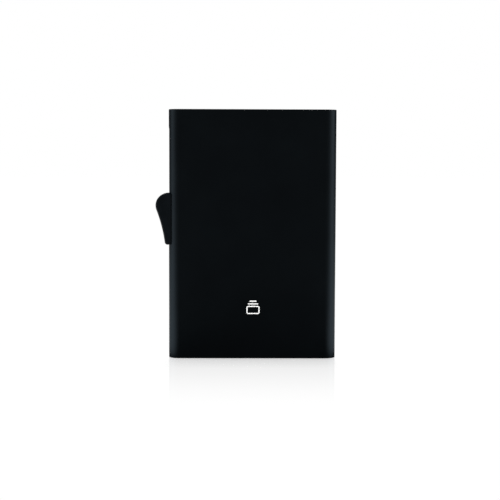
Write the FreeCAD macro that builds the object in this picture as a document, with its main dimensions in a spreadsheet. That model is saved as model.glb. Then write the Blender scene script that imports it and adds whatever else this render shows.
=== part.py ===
import FreeCAD, Part
import os
import re
import Sketcher

# Card wallet with a thumb lever. Millimetres, X to the right, Y to the back, Z up, origin at
# the centre of the base. Six cards (85.60 x 53.98 x 0.76 mm each) stand in the chamber; the
# lever in the left side lifts them as a staircase.
SIZES = {
    # Housing: an extruded tube with full-round sides.
    "case_width": 63.0, "case_depth": 8.4, "case_height": 93.6, "case_wall": 0.9,
    "rim_bevel": 0.2,
    "slot_width": 2.5, "slot_base": 46.2, "slot_top": 87.1,
    # Cassette: two moulded halves that meet in the middle plane of the tube.
    "frame_depth": 6.4, "frame_base": 1.65, "frame_top": 93.0, "mouth_bevel": 0.3,
    "chamber_left": 26.0, "chamber_right": 28.5, "chamber_depth": 5.2,
    "divider": 0.8, "channel_depth": 3.2, "channel_top": 89.0, "channel_wall_end": 29.5,
    "rest_top": 6.8, "left_rest_outer": 25.7, "left_rest_inner": 19.5, "left_rest_back": 1.5,
    "right_rest_inner": 25.7, "right_rest_outer": 28.45, "right_rest_back": 2.5,
    "peg": 1.0, "peg_length": 1.5, "peg_fit": 0.03, "peg_column": 29.5,
    "top_peg_column": 28.5, "top_peg_height": 91.0,
    # Bottom cap and its two screws.
    "cap_height": 1.6, "cap_fit": 0.03, "screw_hole": 1.8, "countersink": 0.6,
    "screw": 1.6, "screw_head": 2.9, "screw_length": 5.4, "screw_fit": 0.04,
    "screw_sunk": 0.03, "hex": 1.0, "hex_deep": 0.5,
    "left_screw": 22.6, "right_screw": 27.08,
    # Adhesive, springs and felt.
    "tape_width": 40.0, "tape_base": 10.0, "tape_height": 26.0,
    "spring_column": 14.0, "spring_wide": 5.0, "spring_base": 41.0, "spring_top": 71.0,
    "spring_sheet": 0.2, "spring_bow": 0.75, "window_margin": 0.4,
    "felt_column": 10.0, "felt_wide": 10.0, "felt_thick": 0.3, "felt_base": 72.0,
    "felt_height": 18.0,
    # Carriage, lever and brake spring.
    "bar_outer": 30.1, "bar_inner": 27.0, "bar_depth": 3.0, "bar_base": 2.6, "bar_top": 63.0,
    "stem_depth": 2.1, "stem_base": 46.7, "stem_top": 61.9, "stem_gap": 0.05,
    "prong_base": 48.5, "prong_pitch": 8.5, "prong_tall": 3.0, "prong_deep": 1.8,
    "prong_end": 28.2, "prong_fit": 0.03,
    "lever_depth": 5.9, "lever_inner": 30.37, "lever_gap": 0.06, "lever_round": 0.7,
    "lever_corner": 0.6,
    "nose_column": 31.6, "nose_height": 57.7, "nose_radius": 4.7, "nose_turn": 21.0,
    "hollow_radius": 54.5, "tail_turn": 7.71, "tail_radius": 1.0,
    "brake_base": 20.0, "brake_top": 32.0, "brake_sheet": 0.15, "brake_wide": 2.0,
    "brake_foot": 27.55, "brake_bow": 0.52, "brake_margin": 0.4, "brake_recess": 0.6,
    # Fan arm and its two pins.
    "travel": 25.0, "pivot_column": 28.0, "pivot_height": 4.2, "guide_column": 24.0,
    "pin": 1.5, "pin_press": 0.02, "pin_run": 0.06, "eye_radius": 1.25,
    "arm_top": 6.6, "arm_nose": 1.25, "arm_half": 2.45, "finger_step": 0.815,
    "finger_short": 12.0, "finger_growth": 7.5, "finger_long_end": 25.3,
    "finger_round": 0.8, "arm_shoulder": 26.4,
    "drive_pin_front": 1.4, "drive_pin_back": 2.42, "guide_pin_half": 3.1,
    "groove_end": 17.6, "groove_play": 0.3,
    "pass_top": 32.0,
}
FINGERS = 6
PEG_HEIGHTS = (20.0, 50.0, 80.0)

doc = FreeCAD.newDocument("card_wallet")
sheet = doc.addObject("Spreadsheet::Sheet", "Sizes")
for row, (name, number) in enumerate(SIZES.items(), start=1):
    sheet.set(f"A{row}", name)
    sheet.set(f"B{row}", str(number))
    sheet.setAlias(f"B{row}", name)
trial = doc.addObject("Spreadsheet::Sheet", "Trial")
doc.recompute()


def sized(text):
    """Write a formula of size names as an expression on the Sizes sheet."""
    def full(word):
        return "Sizes." + word.group() if word.group() in SIZES else word.group()
    return re.sub(r"[a-z]\w*", full, text)


def number(text):
    """Work a formula out once, for the first shape of a sketch."""
    trial.set("A1", "=" + sized(text))
    trial.recompute()
    return float(trial.A1)


def new_body(name):
    body = doc.addObject("PartDesign::Body", name)
    body.Label = name
    return body


def draw(body, name, plane, level, loops):
    """Closed loops on one of the body's own origin planes, every corner held by a formula.

    A corner is (x, y), or (x, y, centre x, centre y, turn) when an arc leaves it; turn is +1
    for counter-clockwise. A circle is ("circle", x, y, radius).
    """
    sketch = body.newObject("Sketcher::SketchObject", name)
    face = [item for item in body.Origin.OriginFeatures if item.Role == plane][0]
    sketch.AttachmentSupport = [(face, "")]
    sketch.MapMode = "FlatFace"
    sketch.setExpression("AttachmentOffset.Base.z", sized(level))

    def hold(kind, edge, point, formula):
        index = sketch.addConstraint(
            Sketcher.Constraint(kind, -1, 1, edge, point, number(formula)))
        sketch.setExpression(f"Constraints[{index}]", sized(formula))

    for loop in loops:
        if loop[0] == "circle":
            centre = FreeCAD.Vector(number(loop[1]), number(loop[2]), 0)
            up = FreeCAD.Vector(0, 0, 1)
            edge = sketch.addGeometry(Part.Circle(centre, up, number(loop[3])))
            hold("DistanceX", edge, 3, loop[1])
            hold("DistanceY", edge, 3, loop[2])
            index = sketch.addConstraint(Sketcher.Constraint("Radius", edge, number(loop[3])))
            sketch.setExpression(f"Constraints[{index}]", sized(loop[3]))
            continue
        corners = [FreeCAD.Vector(number(c[0]), number(c[1]), 0) for c in loop]
        first = sketch.GeometryCount
        ends = []
        for step, corner in enumerate(loop):
            here, there = corners[step], corners[(step + 1) % len(loop)]
            if len(corner) == 2:
                sketch.addGeometry(Part.LineSegment(here, there))
                ends.append((1, 2))
                continue
            centre = FreeCAD.Vector(number(corner[2]), number(corner[3]), 0)
            start, stop = (here, there) if corner[4] > 0 else (there, here)
            circle = Part.Circle(centre, FreeCAD.Vector(0, 0, 1), (here - centre).Length)
            edge = sketch.addGeometry(
                Part.ArcOfCircle(circle, circle.parameter(start), circle.parameter(stop)))
            ends.append((1, 2) if corner[4] > 0 else (2, 1))
        for step in range(len(loop)):
            after = (step + 1) % len(loop)
            sketch.addConstraint(Sketcher.Constraint(
                "Coincident", first + step, ends[step][1], first + after, ends[after][0]))
        for step, corner in enumerate(loop):
            hold("DistanceX", first + step, ends[step][0], corner[0])
            hold("DistanceY", first + step, ends[step][0], corner[1])
        for step, corner in enumerate(loop):
            if len(corner) == 2:
                continue
            chord = corners[(step + 1) % len(loop)] - corners[step]
            if abs(chord.x) > abs(chord.y):
                hold("DistanceY", first + step, 3, corner[3])
            else:
                hold("DistanceX", first + step, 3, corner[2])
    sketch.Visibility = False
    return sketch


def pad(body, name, plane, low, high, loops):
    """Add material between two levels along the plane's axis (X, Y or Z)."""
    level = f"-({high})" if plane == "XZ_Plane" else low
    feature = body.newObject("PartDesign::Pad", name)
    feature.Profile = draw(body, name + "_sketch", plane, level, loops)
    feature.setExpression("Length", sized(f"({high}) - ({low})"))
    body.Tip = feature
    return feature


def cut(body, name, plane, low, high, loops):
    """Remove material between two levels along the plane's axis (X, Y or Z)."""
    level = f"-({low})" if plane == "XZ_Plane" else high
    feature = body.newObject("PartDesign::Pocket", name)
    feature.Profile = draw(body, name + "_sketch", plane, level, loops)
    feature.setExpression("Length", sized(f"({high}) - ({low})"))
    body.Tip = feature
    return feature


def dress(body, kind, name, size, wanted):
    """Fillet or chamfer the edges of the tip whose box passes the test."""
    doc.recompute()
    tip = body.Tip
    names = [f"Edge{n}" for n, edge in enumerate(tip.Shape.Edges, start=1) if wanted(edge)]
    feature = body.newObject("PartDesign::" + kind, name)
    feature.Base = (tip, names)
    feature.setExpression("Radius" if kind == "Fillet" else "Size", sized(size))
    body.Tip = feature
    print(name, len(names), "edges")
    return feature


def rectangle(left, right, low, high):
    return [(left, low), (right, low), (right, high), (left, high)]


def stadium(half_long, half_round):
    """A flat section with full-round sides, along local X."""
    bend = f"(({half_long}) - ({half_round}))"
    return [(f"-{bend}", f"-({half_round})"),
            (bend, f"-({half_round})", bend, "0", 1),
            (bend, half_round),
            (f"-{bend}", half_round, f"-{bend}", "0", 1)]


def upright_slot(half, low, high):
    """A slot shape with round ends, along local Y."""
    base, top = f"{low} + {half}", f"{high} - {half}"
    return [(half, base), (half, top, "0", top, 1),
            (f"-{half}", top), (f"-{half}", base, "0", base, 1)]


def bow(foot, low, high, rise, thick, side):
    """An arched strip between two heights, bulging to the +side of local X."""
    half = f"(({high}) - ({low})) / 2"
    middle = f"(({high}) + ({low})) / 2"
    radius = f"(({half}) * ({half}) + ({rise}) * ({rise})) / (2 * ({rise}))"
    near = f"({foot}) + ({rise}) - ({radius})"
    return [(foot, low, near, middle, 1), (foot, high),
            (f"({foot}) + ({thick})", high, f"({near}) + ({thick})", middle, -1),
            (f"({foot}) + ({thick})", low)]


def box(name, low, high):
    """A plain box between two corners, each given by three formulas."""
    solid = doc.addObject("Part::Box", name)
    solid.Label = name
    for side, axis, start, stop in zip(("Length", "Width", "Height"), "xyz", low, high):
        solid.setExpression(side, sized(f"({stop}) - ({start})"))
        solid.setExpression(f"Placement.Base.{axis}", sized(start))
    return solid


# Housing.
housing = new_body("housing")
pad(housing, "case_outside", "XY_Plane", "0", "case_height",
    [stadium("case_width / 2", "case_depth / 2")])
cut(housing, "case_inside", "XY_Plane", "0", "case_height",
    [stadium("case_width / 2 - case_wall", "case_depth / 2 - case_wall")])
cut(housing, "lever_slot", "YZ_Plane", "-case_width / 2 - 1", "-case_width / 2 + case_depth / 2",
    [upright_slot("slot_width / 2", "slot_base", "slot_top")])


def on_rim(edge):
    bounds = edge.BoundBox
    top = abs(bounds.ZMin - SIZES["case_height"]) < 1e-4
    base = abs(bounds.ZMax) < 1e-4
    outer = max(abs(bounds.YMin), abs(bounds.YMax)) > SIZES["case_depth"] / 2 - 1e-3
    return top or (base and outer)


dress(housing, "Chamfer", "case_rims", "rim_bevel", on_rim)

# Cassette halves. side is -1 for the front half and +1 for the back half.
flat = "(case_width / 2 - case_depth / 2)"
frames = {}
for side, name in ((-1, "frame_front"), (1, "frame_back")):
    body = new_body(name)
    frames[name] = body
    face = f"({side} * frame_depth / 2)"
    wall = f"({side} * chamber_depth / 2)"
    channel = f"({side} * channel_depth / 2)"
    tip = f"({flat} + frame_depth / 2)"
    pad(body, name + "_section", "XY_Plane", "frame_base", "frame_top", [[
        (f"-{tip}", "0", f"-{flat}", "0", -side), (f"-{flat}", face),
        (flat, face, flat, "0", -side), (tip, "0")]])
    cut(body, name + "_chamber", "XY_Plane", "frame_base", "frame_top",
        [rectangle("-chamber_left", "chamber_right", "0", wall)])
    cut(body, name + "_channel", "XY_Plane", "frame_base", "channel_top", [[
        ("-chamber_left - divider", "0"), ("-chamber_left - divider", channel),
        ("-channel_wall_end", channel), ("-channel_wall_end", f"{side} * case_depth"),
        ("-case_width", f"{side} * case_depth"), ("-case_width", "0")]])
    low, high = ("-case_depth / 2", "-chamber_depth / 2 + 0.05") if side < 0 else (
        "chamber_depth / 2 - 0.05", "case_depth / 2")
    half_groove = "(pin / 2 + groove_play)"
    cut(body, name + "_groove", "XZ_Plane", low, high, [[
        ("groove_end", f"pivot_height - {half_groove}"),
        ("guide_column", f"pivot_height - {half_groove}", "guide_column", "pivot_height", 1),
        ("guide_column", f"pivot_height + {half_groove}"),
        ("groove_end", f"pivot_height + {half_groove}", "groove_end", "pivot_height", 1)]])

front, back = frames["frame_front"], frames["frame_back"]
pad(front, "left_card_rest", "XY_Plane", "frame_base", "rest_top", [rectangle(
    "-left_rest_outer", "-left_rest_inner", "-chamber_depth / 2 - 0.1", "left_rest_back")])
pad(front, "right_card_rest", "XY_Plane", "frame_base", "rest_top", [rectangle(
    "right_rest_inner", "right_rest_outer", "-chamber_depth / 2 - 0.1", "right_rest_back")])
cut(front, "screw_holes", "XY_Plane", "frame_base", "screw_length + 0.3", [
    ("circle", "-left_screw", "0", "(screw + screw_fit) / 2"),
    ("circle", "right_screw", "0", "(screw + screw_fit) / 2")])
windows = []
for column in ("-spring_column", "spring_column"):
    windows.append(rectangle(f"{column} - spring_wide / 2 - window_margin",
                             f"{column} + spring_wide / 2 + window_margin",
                             "spring_base - window_margin", "spring_top + window_margin"))
cut(front, "spring_windows", "XZ_Plane", "-case_depth / 2", "-chamber_depth / 2 + 0.05", windows)
cut(back, "arm_pass", "XY_Plane", "frame_base", "pass_top", [rectangle(
    "-case_width / 2", "-chamber_left + 0.05", "channel_depth / 2 - 0.01", "chamber_depth / 2")])
spots = [("peg_column", str(height)) for height in PEG_HEIGHTS]
spots.append(("-top_peg_column", "top_peg_height"))
pad(front, "pegs", "XZ_Plane", "-0.5", "peg_length",
    [("circle", column, height, "peg / 2") for column, height in spots])
cut(back, "peg_sockets", "XZ_Plane", "-0.1", "peg_length + 0.1",
    [("circle", column, height, "peg / 2 + peg_fit") for column, height in spots])


def on_mouth(edge):
    bounds = edge.BoundBox
    top = abs(bounds.ZMin - SIZES["frame_top"]) < 1e-4
    along_wall = (bounds.XLength > 50 and bounds.YLength < 1e-4
                  and abs(abs(bounds.YMin) - SIZES["chamber_depth"] / 2) < 1e-3)
    return top and along_wall


for name, body in frames.items():
    dress(body, "Chamfer", name + "_mouth", "mouth_bevel", on_mouth)

# Bottom cap, flush with the base of the tube.
cap = new_body("bottom_cap")
pad(cap, "cap_plug", "XY_Plane", "0", "cap_height", [stadium(
    "case_width / 2 - case_wall - cap_fit", "case_depth / 2 - case_wall - cap_fit")])
cut(cap, "cap_holes", "XY_Plane", "0", "cap_height", [
    ("circle", "-left_screw", "0", "screw_hole / 2"),
    ("circle", "right_screw", "0", "screw_hole / 2")])
dress(cap, "Chamfer", "cap_countersinks", "countersink",
      lambda edge: abs(edge.BoundBox.ZMax) < 1e-4 and edge.BoundBox.XLength < 3)

# Two countersunk screws with a hexagon socket.
screws = []
for label, column in (("left", "-left_screw"), ("right", "right_screw")):
    head = doc.addObject("Part::Cone", label + "_head")
    head.setExpression("Radius1", sized("screw_head / 2"))
    head.setExpression("Radius2", sized("screw / 2"))
    head.setExpression("Height", sized("(screw_head - screw) / 2"))
    shank = doc.addObject("Part::Cylinder", label + "_shank")
    shank.setExpression("Radius", sized("screw / 2"))
    shank.setExpression("Height", sized("screw_length"))
    solid = doc.addObject("Part::Fuse", label + "_blank")
    solid.Base, solid.Tool = head, shank
    socket = doc.addObject("Part::Prism", label + "_socket")
    socket.Polygon = 6
    socket.setExpression("Circumradius", sized("hex / 2"))
    socket.setExpression("Height", sized("hex_deep"))
    screw = doc.addObject("Part::Cut", label + "_screw")
    screw.Base, screw.Tool = solid, socket
    screw.setExpression("Placement.Base.x", sized(column))
    screw.setExpression("Placement.Base.z", sized("screw_sunk"))
    screws.append(screw)
cap_screws = doc.addObject("Part::Compound", "cap_screws")
cap_screws.Label = "cap_screws"
cap_screws.Links = screws

# Adhesive sheets between the cassette and the tube.
inside = "(case_depth / 2 - case_wall)"
tape_front = box("frame_tape_front", ("-tape_width / 2", f"-{inside}", "tape_base"),
                 ("tape_width / 2", "-frame_depth / 2", "tape_base + tape_height"))
tape_back = box("frame_tape_back", ("-tape_width / 2", "frame_depth / 2", "tape_base"),
                ("tape_width / 2", inside, "tape_base + tape_height"))

# Leaf springs in the front windows press the cards against the felt on the back wall.
springs = []
felts = []
for side, label in ((-1, "left"), (1, "right")):
    spring = new_body("card_spring_" + label)
    column = f"({side} * spring_column)"
    pad(spring, spring.Name + "_strip", "YZ_Plane", f"{column} - spring_wide / 2",
        f"{column} + spring_wide / 2",
        [bow("-frame_depth / 2", "spring_base", "spring_top", "spring_bow", "spring_sheet", 1)])
    springs.append(spring)
    edge = f"({side} * (felt_column + felt_wide / 2))"
    felts.append(box("card_felt_" + label,
                     (f"{edge} - felt_wide / 2", "chamber_depth / 2 - felt_thick", "felt_base"),
                     (f"{edge} + felt_wide / 2", "chamber_depth / 2", "felt_base + felt_height")))

# Carriage: the bar in the side channel.
carriage = new_body("slider_carriage")
pad(carriage, "bar", "XZ_Plane", "-bar_depth / 2", "bar_depth / 2",
    [rectangle("-bar_outer", "-bar_inner", "bar_base", "bar_top")])
cut(carriage, "brake_recess", "XZ_Plane", "-bar_depth", "bar_depth", [rectangle(
    "-bar_inner - brake_recess", "-bar_inner + 1",
    "brake_base - brake_margin", "brake_top + brake_margin")])
cut(carriage, "drive_hole", "XZ_Plane", "-bar_depth", "bar_depth",
    [("circle", "-pivot_column", "pivot_height", "(pin + pin_press) / 2")])
prongs = [("prong_base", "prong_base + prong_tall"),
          ("prong_base + prong_pitch", "prong_base + prong_pitch + prong_tall")]
cut(carriage, "prong_sockets", "YZ_Plane", "-bar_outer - 1", "-prong_end + prong_fit", [
    rectangle("-prong_deep / 2 - prong_fit", "prong_deep / 2 + prong_fit",
              f"{low} - prong_fit", f"{high} + prong_fit") for low, high in prongs])
dress(carriage, "Chamfer", "bar_ends", "rim_bevel", lambda edge: (
    edge.BoundBox.ZLength < 1e-4 and edge.BoundBox.YLength > SIZES["bar_depth"] - 1e-3
    and (abs(edge.BoundBox.ZMin - SIZES["bar_base"]) < 1e-3
         or abs(edge.BoundBox.ZMin - SIZES["bar_top"]) < 1e-3)))

# Thumb lever: round nose, hollow face below it, saddle over the round side of the tube.
nose_x, nose_z = "-nose_column", "nose_height"
turn_x = "(-nose_column - nose_radius * cos(nose_turn))"
turn_z = "(nose_height - nose_radius * sin(nose_turn))"
hollow_x = "(-nose_column - (nose_radius + hollow_radius) * cos(nose_turn))"
hollow_z = "(nose_height - (nose_radius + hollow_radius) * sin(nose_turn))"
tail_x = f"({hollow_x} + hollow_radius * cos(tail_turn))"
tail_z = f"({hollow_z} + hollow_radius * sin(tail_turn))"
heel_x = f"({hollow_x} + (hollow_radius + tail_radius) * cos(tail_turn))"
heel_z = f"({hollow_z} + (hollow_radius + tail_radius) * sin(tail_turn))"
lever = new_body("thumb_lever")
lever_top = "(nose_height + nose_radius)"
lever_base = f"({heel_z} - tail_radius)"
corner_x = "(-lever_inner - lever_corner)"
pad(lever, "fin", "XZ_Plane", "-lever_depth / 2", "lever_depth / 2", [[
    ("-lever_inner", f"{lever_top} - lever_corner",
     corner_x, f"{lever_top} - lever_corner", 1),
    (corner_x, lever_top),
    (nose_x, lever_top, nose_x, nose_z, 1),
    (turn_x, turn_z, hollow_x, hollow_z, -1),
    (tail_x, tail_z, heel_x, heel_z, 1),
    (heel_x, lever_base),
    (corner_x, lever_base, corner_x, f"{lever_base} + lever_corner", 1),
    ("-lever_inner", f"{lever_base} + lever_corner")]])


def on_fin_outline(edge):
    bounds = edge.BoundBox
    on_side = bounds.YLength < 1e-4 and abs(abs(bounds.YMin) - SIZES["lever_depth"] / 2) < 1e-3
    return on_side and not (bounds.XLength < 1e-4 and bounds.XMin > -SIZES["lever_inner"] - 1e-3)


dress(lever, "Fillet", "fin_edges", "lever_round", on_fin_outline)
cut(lever, "saddle", "XY_Plane", "0", "case_height",
    [("circle", f"-{flat}", "0", "case_depth / 2 + lever_gap")])
pad(lever, "stem", "YZ_Plane", "-nose_column - 0.6", "-bar_outer - stem_gap",
    [upright_slot("stem_depth / 2", "stem_base", "stem_top")])
pad(lever, "prongs", "YZ_Plane", "-nose_column", "-prong_end",
    [rectangle("-prong_deep / 2", "prong_deep / 2", low, high) for low, high in prongs])

# Brake spring: rides in the carriage and rubs on the divider.
brake = new_body("brake_spring")
pad(brake, "brake_strip", "XZ_Plane", "-brake_wide / 2", "brake_wide / 2",
    [bow("-brake_foot", "brake_base", "brake_top", "brake_bow", "brake_sheet", 1)])

# Fan arm: six fingers, the shortest in front; the longest reaches the drive pin.
arm = new_body("fan_arm")
arm_base = "(pivot_height - eye_radius)"
pad(arm, "finger_6", "XZ_Plane", f"-arm_half + {FINGERS - 1} * finger_step", "arm_half", [[
    ("-pivot_column", "pivot_height + eye_radius", "-pivot_column", "pivot_height", 1),
    ("-pivot_column", arm_base),
    ("guide_column + arm_nose", arm_base), ("guide_column + arm_nose", "arm_top"),
    ("-finger_long_end", "arm_top"), ("-arm_shoulder", "pivot_height + eye_radius")]])
for finger in range(FINGERS - 1, 0, -1):
    length = f"(finger_short + {finger - 1} * finger_growth)"
    pad(arm, f"finger_{finger}", "XZ_Plane", f"-arm_half + {finger - 1} * finger_step",
        f"-arm_half + {finger} * finger_step + 0.02",
        [rectangle(f"guide_column - {length}", "guide_column + arm_nose", arm_base, "arm_top")])
cut(arm, "drive_eye", "XZ_Plane", "-arm_half - 1", "arm_half + 1",
    [("circle", "-pivot_column", "pivot_height", "(pin + pin_run) / 2")])
cut(arm, "guide_bore", "XZ_Plane", "-arm_half - 1", "arm_half + 1",
    [("circle", "guide_column", "pivot_height", "(pin + pin_press) / 2")])
dress(arm, "Fillet", "finger_tips", "finger_round", lambda edge: (
    edge.BoundBox.XLength < 1e-4 and edge.BoundBox.ZLength < 1e-4
    and abs(edge.BoundBox.ZMin - SIZES["arm_top"]) < 1e-3
    and edge.BoundBox.XMin < SIZES["guide_column"] - SIZES["finger_short"] + 1e-3
    and edge.BoundBox.YLength > 0.5))

drive_pin = new_body("drive_pin")
pad(drive_pin, "drive_rod", "XZ_Plane", "-drive_pin_front", "drive_pin_back",
    [("circle", "-pivot_column", "pivot_height", "pin / 2")])
guide_pin = new_body("guide_pin")
pad(guide_pin, "guide_rod", "XZ_Plane", "-guide_pin_half", "guide_pin_half",
    [("circle", "guide_column", "pivot_height", "pin / 2")])

doc.removeObject("Trial")
doc.recompute()
bad = [item.Label for item in doc.Objects if "Invalid" in item.State or "Error" in item.State]
if bad:
    raise RuntimeError("objects not built: " + ", ".join(bad))

nodes = [housing, front, back, cap, cap_screws, tape_front, tape_back, *springs, *felts,
         carriage, lever, brake, arm, drive_pin, guide_pin]
os.makedirs("parts", exist_ok=True)
for node in nodes:
    shape = node.Shape
    if shape.isNull() or not shape.isValid():
        raise RuntimeError("bad shape: " + node.Label)
    print(f"{node.Label:18s} {len(shape.Solids)} solid(s) {shape.Volume:9.2f} mm3")
    shape.exportStep(f"parts/{node.Label}.step")
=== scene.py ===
# %% [markdown]
# # A card wallet with a thumb lever
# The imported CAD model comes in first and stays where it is: it is the skeleton that every
# piece rides on. Each visible piece is then made again at the same place and size, with the
# rounded edges and surfaces that a part for collision does not need.

# %% Load the frame
import math
import bmesh
import bpy
from mathutils import Matrix, Vector


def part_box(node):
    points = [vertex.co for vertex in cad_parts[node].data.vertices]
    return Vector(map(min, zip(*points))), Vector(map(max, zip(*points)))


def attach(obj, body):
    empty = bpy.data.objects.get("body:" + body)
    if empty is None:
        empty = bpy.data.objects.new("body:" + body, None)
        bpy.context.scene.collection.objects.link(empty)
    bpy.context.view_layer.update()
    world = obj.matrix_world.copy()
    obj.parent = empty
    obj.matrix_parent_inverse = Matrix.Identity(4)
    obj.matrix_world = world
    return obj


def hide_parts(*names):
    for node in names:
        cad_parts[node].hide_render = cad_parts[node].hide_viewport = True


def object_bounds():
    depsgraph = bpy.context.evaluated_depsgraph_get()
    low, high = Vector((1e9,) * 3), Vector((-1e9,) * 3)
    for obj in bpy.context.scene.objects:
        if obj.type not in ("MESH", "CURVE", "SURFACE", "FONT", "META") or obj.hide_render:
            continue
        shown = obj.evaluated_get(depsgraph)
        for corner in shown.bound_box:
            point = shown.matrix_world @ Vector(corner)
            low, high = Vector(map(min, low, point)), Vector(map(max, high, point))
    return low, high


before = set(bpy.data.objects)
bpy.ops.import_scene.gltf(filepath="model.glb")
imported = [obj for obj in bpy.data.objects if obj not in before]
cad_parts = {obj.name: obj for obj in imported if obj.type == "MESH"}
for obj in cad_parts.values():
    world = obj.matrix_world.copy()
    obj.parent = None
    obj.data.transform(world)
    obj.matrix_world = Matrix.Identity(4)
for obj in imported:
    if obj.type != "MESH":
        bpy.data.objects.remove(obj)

MM = 0.001
cad_low, cad_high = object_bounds()
shell_low, shell_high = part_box("housing")
print("frame", [round(side / MM, 2) for side in cad_high - cad_low], "mm")

# %% [markdown]
# ## Camera
# A product shot with a long lens: the eye is a little below the top of the case and looks
# slightly down, so the base shows as two soft arcs and the mouth stays hidden. The
# camera's three axes are written out as a matrix, which is exact and needs no tracking.

# %% Camera
EYE = Vector((-6.16, -471.59, 75.90)) * MM
PITCH, YAW, ROLL = math.radians(4.264), math.radians(0.644), math.radians(0.188)

forward = Vector((math.sin(YAW) * math.cos(PITCH), math.cos(YAW) * math.cos(PITCH),
                  -math.sin(PITCH)))
level_right = Vector((math.cos(YAW), -math.sin(YAW), 0))
level_up = level_right.cross(forward)
right = math.cos(ROLL) * level_right + math.sin(ROLL) * level_up
up = math.cos(ROLL) * level_up - math.sin(ROLL) * level_right

lens = bpy.data.cameras.new("camera")
lens.lens, lens.sensor_width = 89.95, 36.0
lens.clip_start, lens.clip_end = 0.02, 50.0
camera = bpy.data.objects.new("camera", lens)
camera.matrix_world = Matrix.Translation(EYE) @ Matrix((right, up, -forward)).transposed().to_4x4()
bpy.context.scene.collection.objects.link(camera)
bpy.context.scene.camera = camera
print("camera", round((EYE - (cad_low + cad_high) / 2).length, 3), "m from the case")

# %% [markdown]
# ## Helpers for nodes and colours
# Shader trees and geometry trees are both made of nodes with settings and links, so one
# function that adds a node serves both. Colours are written as sRGB hex, the way a paint
# maker gives them, and turned to the linear values that light needs.

# %% Node and colour helpers
def feed(tree, node, feeds):
    """Set a node's inputs, by name or number, to values or to sockets of other nodes. A node
    stands for its first output, and a list links several to one input."""
    for key, value in feeds.items():
        for each in value if isinstance(value, list) else [value]:
            if isinstance(each, bpy.types.Node):
                each = each.outputs[0]
            if isinstance(each, bpy.types.NodeSocket):
                tree.links.new(each, node.inputs[key])
            else:
                node.inputs[key].default_value = each


def add(tree, kind, feeds=None, stops=(), **settings):
    """Add a node with its settings and feeds; stops are for a colour ramp, as pairs of a
    position and a hex colour or grey."""
    node = tree.nodes.new(kind)
    for key, value in settings.items():
        setattr(node, key, value)
    feed(tree, node, feeds or {})
    while stops and len(node.color_ramp.elements) < len(stops):
        node.color_ramp.elements.new(0.5)
    for at, (place, colour) in enumerate(stops):
        element = node.color_ramp.elements[at]
        element.position = place
        element.color = linear(colour) if isinstance(colour, str) else (colour,) * 3 + (1,)
    return node


def linear(code):
    """An sRGB hex code as linear red, green, blue and alpha."""
    channels = [int(code[at:at + 2], 16) / 255 for at in (1, 3, 5)]
    bent = [c / 12.92 if c <= 0.04045 else ((c + 0.055) / 1.055) ** 2.4 for c in channels]
    return (*bent, 1.0)


def finish_named(name, roughness, metallic=0.0):
    """A material with its principled shader; the caller adds what makes it that finish."""
    material = bpy.data.materials.new(name)
    material.use_nodes = True
    tree = material.node_tree
    shader = tree.nodes["Principled BSDF"]
    feed(tree, shader, {"Roughness": roughness, "Metallic": metallic})
    print("finish", name)
    return material, tree, shader, add(tree, "ShaderNodeTexCoord").outputs["Object"]

# %% [markdown]
# ## Studio
# A black object on white is lit by what it mirrors. The tent's two side walls are bright and
# draw the soft lines down the round sides, its front and back are dim and keep the flat
# faces black, and a soft key from above the camera is there for white and matt surfaces.
# A wall is brightest where a ray points to the side and a little away from the camera, so
# its measure is the size of direction X plus about half of Y. A black flag behind each wall
# ends the sides of the case in a thin dark line.

# %% World
FRONT, SIDE = 0.185, 1.85
BACK_SHARE, RIGHT_EXTRA = 0.45, 0.12
world = bpy.data.worlds.new("tent")
bpy.context.scene.world = world
world.use_nodes = True
sky = world.node_tree
sky.nodes.clear()
direction = add(sky, "ShaderNodeTexCoord").outputs["Generated"]
points_to = add(sky, "ShaderNodeSeparateXYZ", {0: direction}).outputs
sideways = add(sky, "ShaderNodeMath", {0: points_to["X"]}, operation="ABSOLUTE")
reach_back = add(sky, "ShaderNodeMath", {0: points_to["Y"], 1: BACK_SHARE, 2: sideways},
                 operation="MULTIPLY_ADD")
wall = add(sky, "ShaderNodeMapRange", {"Value": reach_back, "From Min": 0.25, "From Max": 1.1},
           interpolation_type="SMOOTHSTEP")
brighter_right = add(sky, "ShaderNodeMath", {0: points_to["X"], 1: RIGHT_EXTRA * SIDE, 2: SIDE},
                     operation="MULTIPLY_ADD")
past_flag = add(sky, "ShaderNodeMapRange", {
    "Value": points_to["Y"], "From Min": 0.05, "From Max": 0.45, "To Min": 1.0,
    "To Max": 0.0}, interpolation_type="SMOOTHSTEP")
open_wall = add(sky, "ShaderNodeMath", {0: wall, 1: past_flag}, operation="MULTIPLY")
walls = add(sky, "ShaderNodeMath", {0: open_wall, 1: brighter_right, 2: FRONT},
            operation="MULTIPLY_ADD")
seen = add(sky, "ShaderNodeBackground", {"Color": (1, 1, 1, 1), "Strength": 1.0})
lit = add(sky, "ShaderNodeBackground", {"Color": (1, 1, 1, 1), "Strength": walls})
by_camera = add(sky, "ShaderNodeLightPath").outputs["Is Camera Ray"]
both = add(sky, "ShaderNodeMixShader", {0: by_camera, 1: lit, 2: seen})
add(sky, "ShaderNodeOutputWorld", {"Surface": both})
bpy.context.scene.view_settings.view_transform = "Standard"
print("tent", len(sky.nodes), "nodes, walls", round(SIDE / FRONT, 1), "times the front")
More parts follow.
